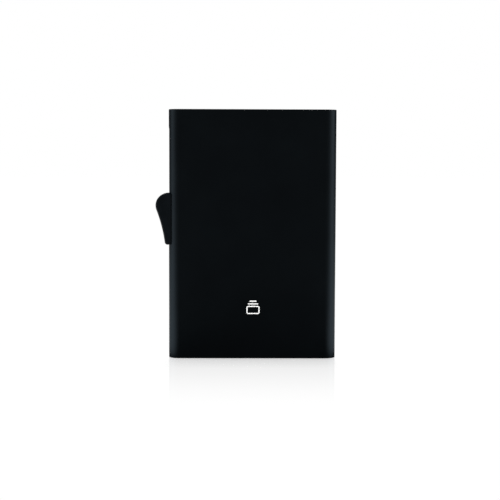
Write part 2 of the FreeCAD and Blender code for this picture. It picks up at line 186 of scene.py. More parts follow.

# %% [markdown]
# ## Table
# A sheet of white acrylic that glows from below, polished enough to mirror the foot of the
# case. The mirror fades with the distance from the case, so the table is plain white a
# hand's width away. A broader mirror, with the glow turned down to match it, paints a soft
# contact shadow under the case. For the case itself the sheet is only bright beside it, by
# the same measure as the walls, and dim before and behind it, as if black cards lay there
# out of sight. Close round the foot of the case the glow it sees is turned down as painted
# shade; with the dim front and back this keeps the foot of the flat faces black. What the
# case sees and what the camera sees are mixed by the kind of ray, and the mirror is made
# stronger to make up for the dim front of the tent.

# %% Table
acrylic = bpy.data.materials.new("white_acrylic_table")
acrylic.use_nodes = True
table = acrylic.node_tree
table.nodes.clear()
point = add(table, "ShaderNodeTexCoord").outputs["Object"]
size = add(table, "ShaderNodeVectorMath", {0: point}, operation="ABSOLUTE")
beyond = add(table, "ShaderNodeVectorMath", {0: size, 1: (cad_high.x, shell_high.y, 0)},
             operation="SUBTRACT")
gap = add(table, "ShaderNodeVectorMath", {0: beyond, 1: (0, 0, 0)}, operation="MAXIMUM")
distance = add(table, "ShaderNodeVectorMath", {0: gap}, operation="LENGTH").outputs["Value"]
print("table measures its distance from", round(cad_high.x / MM, 1), "mm outwards")

# %% Table for the camera
FADE, SHEET_WHITE = 90 * MM, 1.005
along_fade = add(table, "ShaderNodeMath", {0: distance, 1: FADE}, operation="DIVIDE")
mirror = add(table, "ShaderNodeValToRGB", {"Fac": along_fade}, stops=(
    (0.0, 0.155), (0.29, 0.130), (0.51, 0.078), (0.72, 0.035), (0.90, 0.010), (1.0, 0.0)))
# Painted contact shadow: the glow is dimmed near the case, and a broad mirror, lifted to match,
# gives it back except where the case blocks it.
contact_shade = add(table, "ShaderNodeValToRGB", {"Fac": along_fade}, stops=(
    (0.0, 0.30), (0.08, 0.18), (0.25, 0.0)))
less_mirror = add(table, "ShaderNodeMath", {0: SHEET_WHITE, 1: mirror}, operation="SUBTRACT")
less_both = add(table, "ShaderNodeMath", {0: less_mirror, 1: contact_shade}, operation="SUBTRACT")
glow = add(table, "ShaderNodeEmission", {"Color": (1, 1, 1, 1), "Strength": less_both})
mirror_lift = add(table, "ShaderNodeVectorMath", {0: mirror, "Scale": 1 / FRONT},
                  operation="SCALE")
contact_shade_lift = add(table, "ShaderNodeVectorMath", {0: contact_shade, "Scale": 1 / FRONT},
                   operation="SCALE")
sharp = add(table, "ShaderNodeBsdfGlossy", {"Color": mirror_lift, "Roughness": 0.06})
broad = add(table, "ShaderNodeBsdfGlossy", {"Color": contact_shade_lift, "Roughness": 0.45})
glossy = add(table, "ShaderNodeAddShader", {0: sharp, 1: broad})
white = add(table, "ShaderNodeAddShader", {0: glow, 1: glossy})
print("mirror fades over", round(FADE / MM), "mm")

# %% Table for the case
FOOT_SHADE = 0.09
across = add(table, "ShaderNodeSeparateXYZ", {0: size}).outputs["X"]
beside = add(table, "ShaderNodeMapRange", {
    "Value": across, "From Min": 33 * MM, "From Max": 50 * MM, "To Min": 0.0,
    "To Max": 1.0}, interpolation_type="SMOOTHSTEP")
outwards = add(table, "ShaderNodeVectorMath", {0: point}, operation="NORMALIZE")
heading = add(table, "ShaderNodeSeparateXYZ", {0: outwards}).outputs
aside = add(table, "ShaderNodeMath", {0: heading["X"]}, operation="ABSOLUTE")
reach = add(table, "ShaderNodeMath", {0: heading["Y"], 1: BACK_SHARE, 2: aside},
            operation="MULTIPLY_ADD")
behind = add(table, "ShaderNodeMapRange", {
    "Value": reach, "From Min": 0.1, "From Max": 1.1, "To Min": 0.1, "To Max": 1.9},
    interpolation_type="SMOOTHSTEP")
near = add(table, "ShaderNodeMapRange", {
    "Value": distance, "From Min": 250 * MM, "From Max": 800 * MM, "To Min": 1.0,
    "To Max": 0.05}, interpolation_type="SMOOTHSTEP")
bright = add(table, "ShaderNodeMath", {0: beside, 1: near}, operation="MULTIPLY")
# Painted shade: close round the foot of the case the glow that the case sees is turned down, as if
# the case shaded the sheet.
foot_shaded_glow = add(table, "ShaderNodeMapRange", {
    "Value": distance, "From Min": 5 * MM, "From Max": 150 * MM, "To Min": FOOT_SHADE,
    "To Max": FRONT}, interpolation_type="SMOOTHSTEP")
given = add(table, "ShaderNodeMath", {0: bright, 1: behind, 2: foot_shaded_glow}, operation="MULTIPLY_ADD")
card = add(table, "ShaderNodeEmission", {"Color": (1, 1, 1, 1), "Strength": given})
looked_at = add(table, "ShaderNodeLightPath").outputs["Is Camera Ray"]
surface = add(table, "ShaderNodeMixShader", {0: looked_at, 1: card, 2: white})
add(table, "ShaderNodeOutputMaterial", {"Surface": surface})
print("table", len(table.nodes), "nodes")

# %% Floor
REACH = 4.0
floor_mesh = bpy.data.meshes.new("floor")
floor_mesh.from_pydata([(-REACH, -REACH, 0), (REACH, -REACH, 0), (REACH, REACH, 0),
                        (-REACH, REACH, 0)], [], [(0, 1, 2, 3)])
floor_mesh.materials.append(acrylic)
floor = bpy.data.objects.new("floor", floor_mesh)
bpy.context.scene.collection.objects.link(floor)
print("floor", 2 * REACH, "m wide")

# %% Key light
KEY_PLACE, KEY_AIM = Vector((-0.15, -0.50, 0.75)), Vector((0, 0, 0.05))
key = bpy.data.lights.new("key", "AREA")
key.shape, key.size, key.size_y, key.energy = "RECTANGLE", 0.5, 0.4, 12.0
key_light = bpy.data.objects.new("key", key)
key_light.location = KEY_PLACE
key_light.rotation_euler = (KEY_AIM - KEY_PLACE).to_track_quat("-Z", "Y").to_euler()
key_light.visible_glossy = False
bpy.context.scene.collection.objects.link(key_light)
print("key light", round((KEY_AIM - KEY_PLACE).length, 2), "m away")

# %% [markdown]
# ## Black anodised aluminium
# The tube is extruded, bead-blasted, anodised and dyed black. The dyed oxide is a few
# hundredths of a millimetre thick and drinks almost all light, so the metal only shows as a
# dim, broad sheen. Blasting leaves a fine even grain; the grain of real beads, about
# 0.1 mm, is too fine to see here, so it is drawn at 0.25 mm. The dye takes a little
# unevenly, so tone and roughness wander over about 14 mm.

# %% Black anodised aluminium
anodised, tree, shader, where = finish_named("black_anodised_aluminium", 0.36, metallic=1.0)
BEAD = 0.25 * MM
beads = add(tree, "ShaderNodeTexNoise", {"Vector": where, "Scale": 1 / BEAD, "Detail": 2.0})
clouds = add(tree, "ShaderNodeTexNoise", {"Vector": where, "Scale": 1 / (14 * MM),
                                          "Detail": 3.0})
tone = add(tree, "ShaderNodeValToRGB", {"Fac": clouds}, stops=((0.3, "#21262a"),
                                                              (0.7, "#23292d")))
rough = add(tree, "ShaderNodeMapRange", {"Value": clouds, "From Min": 0.3, "From Max": 0.7,
                                         "To Min": 0.33, "To Max": 0.39})
bump = add(tree, "ShaderNodeBump", {"Height": beads, "Strength": 0.12, "Distance": 0.01 * MM})
feed(tree, shader, {"Base Color": tone, "Specular Tint": linear("#c4c4c4"), "Roughness": rough,
                    "Normal": bump})

# %% [markdown]
# ## Tube
# The housing follows one rule: a wall section swept round a path with full-round sides. So
# Geometry Nodes make it. The path is a rectangle whose fillets meet, the section is the wall
# with small rounded rims, and a slot-shaped cutter opens the left side. Merging closes the
# seam where the fillets meet.

# %% Geometry Nodes helpers
def new_rule(name, inputs):
    """Start a geometry tree: named inputs in, one mesh out."""
    rule = bpy.data.node_groups.new(name, "GeometryNodeTree")
    for label, kind in inputs.items():
        rule.interface.new_socket(label, in_out="INPUT", socket_type="NodeSocket" + kind)
    rule.interface.new_socket("Mesh", in_out="OUTPUT", socket_type="NodeSocketGeometry")
    return rule, add(rule, "NodeGroupInput").outputs


def end_rule(rule, geometry, material):
    """Realize Instances and Set Material close every tree."""
    real = add(rule, "GeometryNodeRealizeInstances", {0: geometry})
    dressed = add(rule, "GeometryNodeSetMaterial", {"Geometry": real, "Material": material})
    add(rule, "NodeGroupOutput", {0: dressed})
    print(rule.name, len(rule.nodes), "nodes")


def wear(piece, material):
    """One material, and no empty slot before it."""
    piece.data.materials.clear()
    piece.data.materials.append(material)
    piece.data.polygons.foreach_set("material_index", [0] * len(piece.data.polygons))


def grow(name, rule, values):
    """Run a tree once and keep its result as a plain mesh object."""
    piece = bpy.data.objects.new(name, bpy.data.meshes.new(name))
    bpy.context.scene.collection.objects.link(piece)
    modifier = piece.modifiers.new("rule", "NODES")
    modifier.node_group = rule
    for item in rule.interface.items_tree:
        if item.in_out == "INPUT":
            modifier[item.identifier] = values[item.name]
    grown = piece.evaluated_get(bpy.context.evaluated_depsgraph_get())
    plain = bpy.data.meshes.new_from_object(grown)
    piece.modifiers.clear()
    piece.data = plain
    plain.name = name
    wear(piece, values["Finish"])
    print(name, len(plain.polygons), "faces")
    return piece


def flatten(piece):
    """Apply every modifier, so the piece is a plain mesh again."""
    finished = piece.evaluated_get(bpy.context.evaluated_depsgraph_get())
    plain = bpy.data.meshes.new_from_object(finished)
    piece.modifiers.clear()
    piece.data = plain
    plain.name = piece.name


def soften(piece, width, segments=3, crease=40):
    """Round the sharp edges, then let the large faces lead the shading."""
    edge = piece.modifiers.new("edge", "BEVEL")
    edge.limit_method, edge.angle_limit = "ANGLE", math.radians(crease)
    edge.width, edge.segments, edge.use_clamp_overlap = width, segments, True
    flatten(piece)
    shade(piece)


def shade(piece, crease=50):
    """Smooth shading that large faces lead, with creases above an angle."""
    piece.data.shade_smooth()
    piece.data.set_sharp_from_angle(angle=math.radians(crease))
    lead = piece.modifiers.new("lead", "WEIGHTED_NORMAL")
    lead.weight, lead.keep_sharp = 100, True


def settle(piece, body, slot, *nodes):
    """Let a piece ride on a body and stand for its CAD nodes; the slot is not used."""
    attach(piece, body)
    if nodes:
        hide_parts(*nodes)
    print(piece.name, "rides on", body, "with", len(piece.data.polygons), "faces")

# %% Tube tree
WALL, RIM = 0.9 * MM, 0.2 * MM
SLOT_WIDTH, SLOT_BASE, SLOT_TOP = 2.5 * MM, 46.2 * MM, 87.1 * MM
FULL_ROUND, SEAM = 0.4999, 0.002 * MM
CUTTER_OUT, CUTTER_SHARE = 1 * MM, 0.7
rule, sizes = new_rule("tube_rule", {
    "Width": "Float", "Depth": "Float", "Height": "Float", "Wall": "Float", "Rim": "Float",
    "Slot width": "Float", "Slot base": "Float", "Slot top": "Float", "Finish": "Material"})
wide = add(rule, "ShaderNodeMath", {0: sizes["Width"], 1: sizes["Wall"]}, operation="SUBTRACT")
deep = add(rule, "ShaderNodeMath", {0: sizes["Depth"], 1: sizes["Wall"]}, operation="SUBTRACT")
side_round = add(rule, "ShaderNodeMath", {0: deep, 1: FULL_ROUND}, operation="MULTIPLY")
oblong = add(rule, "GeometryNodeCurvePrimitiveQuadrilateral", {"Width": wide, "Height": deep})
path = add(rule, "GeometryNodeFilletCurve", {
    "Curve": oblong, "Radius": side_round, "Count": 32, "Limit Radius": True}, mode="POLY")
band = add(rule, "GeometryNodeCurvePrimitiveQuadrilateral", {
    "Width": sizes["Wall"], "Height": sizes["Height"]})
section = add(rule, "GeometryNodeFilletCurve", {
    "Curve": band, "Radius": sizes["Rim"], "Count": 4, "Limit Radius": True}, mode="POLY")
swept = add(rule, "GeometryNodeCurveToMesh", {"Curve": path, "Profile Curve": section})
half_height = add(rule, "ShaderNodeMath", {0: sizes["Height"], 1: 0.5}, operation="MULTIPLY")
lift = add(rule, "ShaderNodeCombineXYZ", {"Z": half_height})
raised = add(rule, "GeometryNodeTransform", {"Geometry": swept, "Translation": lift})
sealed = add(rule, "GeometryNodeMergeByDistance", {"Geometry": raised, "Distance": SEAM})

# %% Slot in the tube
slot_long = add(rule, "ShaderNodeMath", {0: sizes["Slot top"], 1: sizes["Slot base"]},
                operation="SUBTRACT")
end_round = add(rule, "ShaderNodeMath", {0: sizes["Slot width"], 1: FULL_ROUND},
                operation="MULTIPLY")
slot_box = add(rule, "GeometryNodeCurvePrimitiveQuadrilateral", {
    "Width": slot_long, "Height": sizes["Slot width"]})
slot_line = add(rule, "GeometryNodeFilletCurve", {
    "Curve": slot_box, "Radius": end_round, "Count": 16, "Limit Radius": True}, mode="POLY")
slot_face = add(rule, "GeometryNodeFillCurve", {"Curve": slot_line}, mode="NGONS")
slot_shut = add(rule, "GeometryNodeMergeByDistance", {"Geometry": slot_face, "Distance": SEAM})
cutter_deep = add(rule, "ShaderNodeMath", {0: sizes["Depth"], 1: CUTTER_SHARE},
                  operation="MULTIPLY")
drawn = add(rule, "GeometryNodeExtrudeMesh", {
    "Mesh": slot_shut, "Offset Scale": cutter_deep, "Individual": False})
backed = add(rule, "GeometryNodeFlipFaces", {"Mesh": slot_shut})
block = add(rule, "GeometryNodeJoinGeometry", {0: [drawn, backed]})
cutter = add(rule, "GeometryNodeMergeByDistance", {"Geometry": block, "Distance": SEAM})
slot_ends = add(rule, "ShaderNodeMath", {0: sizes["Slot top"], 1: sizes["Slot base"]},
                operation="ADD")
slot_middle = add(rule, "ShaderNodeMath", {0: slot_ends, 1: 0.5}, operation="MULTIPLY")
left_of_tube = add(rule, "ShaderNodeMath", {0: sizes["Width"], 1: -0.5, 2: -CUTTER_OUT},
                   operation="MULTIPLY_ADD")
cutter_place = add(rule, "ShaderNodeCombineXYZ", {"X": left_of_tube, "Z": slot_middle})
placed = add(rule, "GeometryNodeTransform", {
    "Geometry": cutter, "Translation": cutter_place, "Rotation": (0.0, math.pi / 2, 0.0)})
opened = add(rule, "GeometryNodeMeshBoolean", {"Mesh 1": sealed, "Mesh 2": placed},
             operation="DIFFERENCE", solver="MANIFOLD")
end_rule(rule, opened, sizes["Finish"])

# %% Tube
tube = grow("tube", rule, {
    "Width": shell_high.x - shell_low.x, "Depth": shell_high.y - shell_low.y,
    "Height": shell_high.z - shell_low.z, "Wall": WALL, "Rim": RIM, "Slot width": SLOT_WIDTH,
    "Slot base": SLOT_BASE, "Slot top": SLOT_TOP, "Finish": anodised})
soften(tube, 0.1 * MM, segments=2)
settle(tube, "case", "anodised_aluminium", "housing")

# %% [markdown]
# ## Lever plastic
# The lever is moulded ABS, dyed black in the mass. The mould is spark-eroded, which leaves
# a fine, even, matte grain of about 0.15 mm; it is drawn at 0.3 mm so that it shows. The
# thumb polishes the top of the grain a little, so the roughness wanders.

# %% Lever plastic
lever_plastic, tree, shader, where = finish_named("spark_textured_black_abs", 0.42)
GRAIN = 0.3 * MM
grain = add(tree, "ShaderNodeTexNoise", {"Vector": where, "Scale": 1 / GRAIN, "Detail": 3.0})
worn = add(tree, "ShaderNodeTexNoise", {"Vector": where, "Scale": 1 / (5 * MM), "Detail": 2.0})
tone = add(tree, "ShaderNodeValToRGB", {"Fac": worn}, stops=((0.3, "#020508"),
                                                             (0.7, "#04080c")))
rough = add(tree, "ShaderNodeMapRange", {"Value": worn, "From Min": 0.3, "From Max": 0.7,
                                         "To Min": 0.38, "To Max": 0.46})
bump = add(tree, "ShaderNodeBump", {"Height": grain, "Strength": 0.25, "Distance": 0.02 * MM})
feed(tree, shader, {"Base Color": tone, "IOR": 1.54, "Specular IOR Level": 0.16,
                    "Roughness": rough, "Normal": bump})

# %% [markdown]
# ## Thumb lever
# A shark's fin: a round nose for the thumb, a long hollow face under it and a small round
# heel. Its outline is three arcs that meet without a kink, so it is worked out from their
# centres. The rounded edge is the same outline drawn a little smaller on each outer layer.
# A cylinder just larger than the side of the tube then hollows the back into a saddle.

# %% Lever outline
flat_end = (shell_high.x - shell_low.x) / 2 - (shell_high.y - shell_low.y) / 2
NOSE_X, NOSE_Z, NOSE_R = -31.72 * MM, 57.6 * MM, 4.7 * MM
NOSE_TURN, HOLLOW_R = math.radians(21.0), 54.5 * MM
TAIL_TURN, TAIL_R, CORNER_R = math.radians(7.71), 1.0 * MM, 0.6 * MM
INNER_X, FIN_HALF, FIN_ROUND, SADDLE_R = -30.37 * MM, 2.95 * MM, 0.7 * MM, 4.26 * MM


def arc(centre_x, centre_z, radius, start, stop, steps):
    """Points of an arc in the X-Z plane, both ends included; angles in radians."""
    return [(centre_x + radius * math.cos(start + (stop - start) * step / steps),
             centre_z + radius * math.sin(start + (stop - start) * step / steps))
            for step in range(steps + 1)]


def fin_outline(inset):
    """The fin seen from the front, drawn smaller by the inset on its outer side."""
    hollow_x = NOSE_X - (NOSE_R + HOLLOW_R) * math.cos(NOSE_TURN)
    hollow_z = NOSE_Z - (NOSE_R + HOLLOW_R) * math.sin(NOSE_TURN)
    heel_x = hollow_x + (HOLLOW_R + TAIL_R) * math.cos(TAIL_TURN)
    heel_z = hollow_z + (HOLLOW_R + TAIL_R) * math.sin(TAIL_TURN)
    top, base = NOSE_Z + NOSE_R, heel_z - TAIL_R
    corner_x, corner_round = INNER_X - CORNER_R, CORNER_R - inset * 0.8
    half, whole = math.pi / 2, math.pi
    points = arc(corner_x, top - CORNER_R, corner_round, 0, half, 6)
    points = [(x, min(z, top - inset)) for x, z in points]
    points += arc(NOSE_X, NOSE_Z, NOSE_R - inset, half, whole + NOSE_TURN, 40)
    points += arc(hollow_x, hollow_z, HOLLOW_R + inset, NOSE_TURN, TAIL_TURN, 24)[1:]
    points += arc(heel_x, heel_z, TAIL_R - inset, whole + TAIL_TURN, 1.5 * whole, 8)[1:]
    low_corner = arc(corner_x, base + CORNER_R, corner_round, -half, 0, 6)
    return points + [(x, max(z, base + inset)) for x, z in low_corner]


print("fin outline", len(fin_outline(0.0)), "corners")

# %% Loft and carve
def loft(name, layers):
    """A closed solid through layers, each a list of the same number of corners."""
    shape = bmesh.new()
    rows = [[shape.verts.new(corner) for corner in layer] for layer in layers]
    for near, far in zip(rows, rows[1:]):
        for at in range(len(near)):
            after = (at + 1) % len(near)
            shape.faces.new((near[at], near[after], far[after], far[at]))
    shape.faces.new(list(reversed(rows[0])))
    shape.faces.new(rows[-1])
    bmesh.ops.recalc_face_normals(shape, faces=shape.faces)
    mesh = bpy.data.meshes.new(name)
    shape.to_mesh(mesh)
    shape.free()
    piece = bpy.data.objects.new(name, mesh)
    bpy.context.scene.collection.objects.link(piece)
    return piece


def carve(piece, tool, operation):
    """Join or cut with a tool that is then thrown away."""
    knife = piece.modifiers.new("carve", "BOOLEAN")
    knife.operation, knife.solver, knife.object = operation, "MANIFOLD", tool
    flatten(piece)
    bpy.data.objects.remove(tool)

# %% Thumb lever
ROUND_STEPS = 6
layers = []
for step in range(ROUND_STEPS + 1):
    angle = math.pi / 2 * (1 - step / ROUND_STEPS)
    inset = FIN_ROUND * (1 - math.cos(angle))
    y = FIN_HALF - FIN_ROUND * (1 - math.sin(angle))
    layers.append([(x, -y, z) for x, z in fin_outline(inset)])
layers += [[(x, -y, z) for x, y, z in layer] for layer in reversed(layers)]
lever = loft("thumb_fin", layers)

RING_STEPS, SADDLE_BASE, SADDLE_TOP = 192, 30 * MM, 75 * MM
ring = arc(-flat_end, 0, SADDLE_R, 0, math.tau, RING_STEPS)[:-1]
saddle = loft("saddle", [[(x, y, z) for x, y in ring] for z in (SADDLE_BASE, SADDLE_TOP)])
carve(lever, saddle, "DIFFERENCE")
print("fin", len(lever.data.polygons), "faces")

# %% Stem and prongs
STEM_HALF, STEM_BASE, STEM_TOP = 1.05 * MM, 46.7 * MM, 61.9 * MM
STEM_OUT, STEM_IN = -32.2 * MM, -30.15 * MM
PRONG_BASES, PRONG_TALL, PRONG_HALF = (48.5 * MM, 57.0 * MM), 3 * MM, 0.9 * MM
PRONG_OUT, PRONG_IN = -31.6 * MM, -28.2 * MM
stem_line = arc(0, STEM_TOP - STEM_HALF, STEM_HALF, 0, math.pi, 16)
stem_line += arc(0, STEM_BASE + STEM_HALF, STEM_HALF, math.pi, math.tau, 16)
stem = loft("stem", [[(x, y, z) for y, z in stem_line] for x in (STEM_OUT, STEM_IN)])
carve(lever, stem, "UNION")
for low in PRONG_BASES:
    corners = [(-PRONG_HALF, low), (PRONG_HALF, low), (PRONG_HALF, low + PRONG_TALL),
               (-PRONG_HALF, low + PRONG_TALL)]
    prong = loft("prong", [[(x, y, z) for y, z in corners] for x in (PRONG_OUT, PRONG_IN)])
    carve(lever, prong, "UNION")
wear(lever, lever_plastic)
shade(lever, crease=30)
settle(lever, "slider", "lever_abs", "thumb_lever")

# %% [markdown]
# ## Finer copies of the moulded parts
# The cassette, the cap, the carriage and the arm have the right shape already, but every
# edge is knife-sharp and a moulded edge never is. A copy of each is welded, its flat
# triangles are joined into whole faces and its edges are rounded by a tenth of a
# millimetre.

# %% Moulded plastics
def moulded(name, dark, light, roughness, grain_size, strength):
    """A dyed, moulded plastic with the grain of its mould and slight cloudiness."""
    material, tree, shader, where = finish_named(name, roughness)
    cloud = add(tree, "ShaderNodeTexNoise", {"Vector": where, "Scale": 1 / (6 * MM),
                                             "Detail": 2.0})
    tone = add(tree, "ShaderNodeValToRGB", {"Fac": cloud}, stops=((0.3, dark), (0.7, light)))
    grain = add(tree, "ShaderNodeTexNoise", {"Vector": where, "Scale": 1 / grain_size,
                                             "Detail": 3.0})
    bump = add(tree, "ShaderNodeBump", {"Height": grain, "Strength": strength,
                                        "Distance": 0.02 * MM})
    feed(tree, shader, {"Base Color": tone, "IOR": 1.5, "Normal": bump})
    return material


cassette_plastic = moulded("textured_black_abs_cassette", "#15171a", "#1b1e20", 0.55,
                           0.35 * MM, 0.3)
cap_plastic = moulded("textured_black_abs_cap", "#121416", "#181b1d", 0.5, 0.3 * MM, 0.3)
carriage_plastic = moulded("smooth_black_acetal", "#1c1e20", "#222426", 0.35, 0.8 * MM, 0.08)
arm_plastic = moulded("smooth_grey_acetal", "#5b5e60", "#66696b", 0.38, 0.8 * MM, 0.08)

# %% Finer copies
WELD = 0.001 * MM


def finer(node, name, body, slot, material, width):
    """A welded copy of a CAD node with rounded edges, dressed and put on its body."""
    shape = bmesh.new()
    shape.from_mesh(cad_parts[node].data)
    bmesh.ops.remove_doubles(shape, verts=shape.verts, dist=WELD)
    bmesh.ops.dissolve_limit(shape, angle_limit=math.radians(0.5), verts=shape.verts,
                             edges=shape.edges)
    print(name, "open edges", sum(not edge.is_manifold for edge in shape.edges))
    mesh = bpy.data.meshes.new(name)
    shape.to_mesh(mesh)
    shape.free()
    piece = bpy.data.objects.new(name, mesh)
    bpy.context.scene.collection.objects.link(piece)
    soften(piece, width, segments=2, crease=30)
    wear(piece, material)
    settle(piece, body, slot, node)


finer("frame_front", "cassette_front", "case", "cassette_abs", cassette_plastic, 0.12 * MM)
finer("frame_back", "cassette_back", "case", "cassette_abs", cassette_plastic, 0.12 * MM)
finer("bottom_cap", "base_plug", "case", "cap_abs", cap_plastic, 0.1 * MM)
finer("slider_carriage", "carriage_bar", "slider", "carriage_pom", carriage_plastic, 0.12 * MM)
finer("fan_arm", "stepped_arm", "arm", "arm_pom", arm_plastic, 0.12 * MM)

# %% [markdown]
# ## Pins
# Two ground steel pins: one drives the arm from the carriage, one steers it in the groove.
# Their ends are chamfered so they press in straight. Grinding leaves fine rings round them,
# too fine to see, so they are drawn coarser. A wave texture repeats every 2 pi / 20 of its
# unit, so a unit of 3 mm puts the rings 0.94 mm apart.

# %% Pin steel and pins
pin_steel, tree, shader, where = finish_named("ground_steel_pin", 0.28, metallic=1.0)
RING_UNIT = 3 * MM
rings = add(tree, "ShaderNodeTexWave", {"Vector": where, "Scale": 1 / RING_UNIT,
                                        "Distortion": 0.4}, bands_direction="Y")
bump = add(tree, "ShaderNodeBump", {"Height": rings.outputs["Fac"], "Strength": 0.2,
                                    "Distance": 0.005 * MM})
feed(tree, shader, {"Base Color": linear("#b9bbbc"), "Normal": bump})
finer("drive_pin", "arm_drive_pin", "slider", "pin_steel", pin_steel, 0.12 * MM)
finer("guide_pin", "arm_guide_pin", "arm", "pin_steel", pin_steel, 0.12 * MM)

# %% [markdown]
# ## Cap screws
# Two M1.6 countersunk screws with a hexagon socket hold the cap. They are alike, so one
# screw is built by Geometry Nodes and put on two points. Heat blackening gives them a dark
# blue-grey oxide, mottled where it is thinner.

# %% Screw steel
screw_steel, tree, shader, where = finish_named("black_oxide_screw_steel", 0.32, metallic=1.0)
mottle = add(tree, "ShaderNodeTexNoise", {"Vector": where, "Scale": 1 / (0.5 * MM),
                                          "Detail": 4.0})
tone = add(tree, "ShaderNodeValToRGB", {"Fac": mottle}, stops=((0.35, "#2d3034"),
                                                               (0.65, "#43474b")))
bump = add(tree, "ShaderNodeBump", {"Height": mottle, "Strength": 0.15, "Distance": 0.01 * MM})
feed(tree, shader, {"Base Color": tone, "Normal": bump})

# %% Screw tree
PITCH_OF_THREAD, THREAD_ROOT = 0.35 * MM, 0.84
THREAD_SHARE, THREAD_START = 0.74, 0.22
rule, sizes = new_rule("countersunk_screw_rule", {
    "Head": "Float", "Shank": "Float", "Length": "Float", "Hexagon": "Float",
    "Hexagon depth": "Float", "First": "Vector", "Second": "Vector", "Finish": "Material"})
head_radius = add(rule, "ShaderNodeMath", {0: sizes["Head"], 1: 0.5}, operation="MULTIPLY")
shank_radius = add(rule, "ShaderNodeMath", {0: sizes["Shank"], 1: 0.5}, operation="MULTIPLY")
taper = add(rule, "ShaderNodeMath", {0: head_radius, 1: shank_radius}, operation="SUBTRACT")
head = add(rule, "GeometryNodeMeshCone", {
    "Vertices": 48, "Radius Bottom": head_radius, "Radius Top": shank_radius, "Depth": taper})
core = add(rule, "ShaderNodeMath", {0: shank_radius, 1: THREAD_ROOT}, operation="MULTIPLY")
shank = add(rule, "GeometryNodeMeshCylinder", {
    "Vertices": 48, "Radius": core, "Depth": sizes["Length"]})
half_long = add(rule, "ShaderNodeMath", {0: sizes["Length"], 1: 0.5}, operation="MULTIPLY")
half_up = add(rule, "ShaderNodeCombineXYZ", {"Z": half_long})
shank_up = add(rule, "GeometryNodeTransform", {"Geometry": shank, "Translation": half_up})

thread_long = add(rule, "ShaderNodeMath", {0: sizes["Length"], 1: THREAD_SHARE},
                  operation="MULTIPLY")
turns = add(rule, "ShaderNodeMath", {0: thread_long, 1: PITCH_OF_THREAD}, operation="DIVIDE")
helix = add(rule, "GeometryNodeCurveSpiral", {
    "Resolution": 24, "Rotations": turns, "Start Radius": core, "End Radius": core,
    "Height": thread_long})
ridge_size = add(rule, "ShaderNodeMath", {0: shank_radius, 1: core}, operation="SUBTRACT")
ridge = add(rule, "GeometryNodeCurvePrimitiveCircle", {"Resolution": 4, "Radius": ridge_size})
thread = add(rule, "GeometryNodeCurveToMesh", {
    "Curve": helix, "Profile Curve": ridge, "Fill Caps": True})
thread_base = add(rule, "ShaderNodeMath", {0: sizes["Length"], 1: THREAD_START},
                  operation="MULTIPLY")
thread_lift = add(rule, "ShaderNodeCombineXYZ", {"Z": thread_base})
thread_up = add(rule, "GeometryNodeTransform", {"Geometry": thread, "Translation": thread_lift})

# %% Socket and pair
screw = add(rule, "GeometryNodeMeshBoolean", {"Mesh 2": [thread_up, shank_up, head]},
            operation="UNION", solver="MANIFOLD")
key_radius = add(rule, "ShaderNodeMath", {0: sizes["Hexagon"], 1: 0.5}, operation="MULTIPLY")
key_deep = add(rule, "ShaderNodeMath", {0: sizes["Hexagon depth"], 1: 2.0},
               operation="MULTIPLY")
socket = add(rule, "GeometryNodeMeshCylinder", {
    "Vertices": 6, "Radius": key_radius, "Depth": key_deep})
socketed = add(rule, "GeometryNodeMeshBoolean", {"Mesh 1": screw, "Mesh 2": socket},
               operation="DIFFERENCE", solver="MANIFOLD")
ends = add(rule, "GeometryNodeMeshLine", {"Count": 2, "Start Location": sizes["First"],
                                          "Offset": sizes["Second"]}, mode="END_POINTS")
pair = add(rule, "GeometryNodeInstanceOnPoints", {"Points": ends, "Instance": socketed})
end_rule(rule, pair, sizes["Finish"])

# %% Cap screws
LEFT_SCREW, RIGHT_SCREW, SUNK = -22.6 * MM, 27.08 * MM, 0.03 * MM
screws = grow("base_screws", rule, {
    "Head": 2.9 * MM, "Shank": 1.6 * MM, "Length": 5.4 * MM, "Hexagon": 1.0 * MM,
    "Hexagon depth": 0.5 * MM, "First": (LEFT_SCREW, 0, SUNK),
    "Second": (RIGHT_SCREW, 0, SUNK), "Finish": screw_steel})
shade(screws, crease=30)
settle(screws, "case", "screw_steel", "cap_screws")

# %% [markdown]
# ## Leaf springs
# All three springs are strips of rolled stainless steel bent to a shallow bow. Rolling
# leaves fine lines along the strip, so the noise is stretched forty times along Z. One tree
# sweeps a strip along an arc; a turn about Z aims the bow into the card chamber or, for the
# small brake spring, at the divider.

# %% Strip steel
strip_steel, tree, shader, where = finish_named("rolled_stainless_strip", 0.3, metallic=1.0)
long_way = add(tree, "ShaderNodeMapping", {"Vector": where, "Scale": (1.0, 1.0, 0.025)})
lines = add(tree, "ShaderNodeTexNoise", {"Vector": long_way, "Scale": 1 / (0.25 * MM),
                                         "Detail": 3.0})
tone = add(tree, "ShaderNodeValToRGB", {"Fac": lines}, stops=((0.35, "#8f9192"),
                                                              (0.65, "#a6a8a9")))
bump = add(tree, "ShaderNodeBump", {"Height": lines, "Strength": 0.2, "Distance": 0.005 * MM})
feed(tree, shader, {"Base Color": tone, "Normal": bump})

